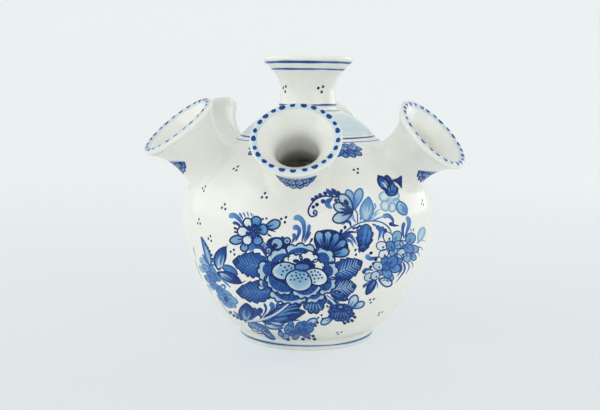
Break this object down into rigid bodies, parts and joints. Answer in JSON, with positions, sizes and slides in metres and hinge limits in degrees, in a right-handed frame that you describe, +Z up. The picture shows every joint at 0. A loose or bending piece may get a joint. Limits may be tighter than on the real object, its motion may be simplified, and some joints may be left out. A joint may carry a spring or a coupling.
{
  "type": "tulip vase",
  "caption": "Globe-shaped tin-glazed earthenware tulip vase on a foot ring, with a flared neck and flared spouts set round the shoulder to hold cut flowers.",
  "frame": {"origin": "centre of the foot, on the plane that the vase rests on", "axes": "+Z up along the axis of the globe and neck, -Y towards the front spout"},
  "size_m": [0.1851, 0.1965, 0.1693],
  "materials": {
    "glaze": "glossy warm white tin glaze with cobalt blue painting",
    "slip": "glossy warm white glaze over smoothed slip",
    "foot": "glossy warm white glaze, wiped bare where it touches the table"
  },
  "bodies": {
    "root": {"body": "glaze", "foot_ring": "foot", "neck": "glaze", "neck_slip": "slip", "front_spout": "glaze", "right_spout": "glaze", "back_right_spout": "glaze", "back_spout": "glaze", "back_left_spout": "glaze", "left_spout": "glaze", "front_slip": "slip", "right_slip": "slip", "back_right_slip": "slip", "back_slip": "slip", "back_left_slip": "slip", "left_slip": "slip"}
  },
  "joints": []
}
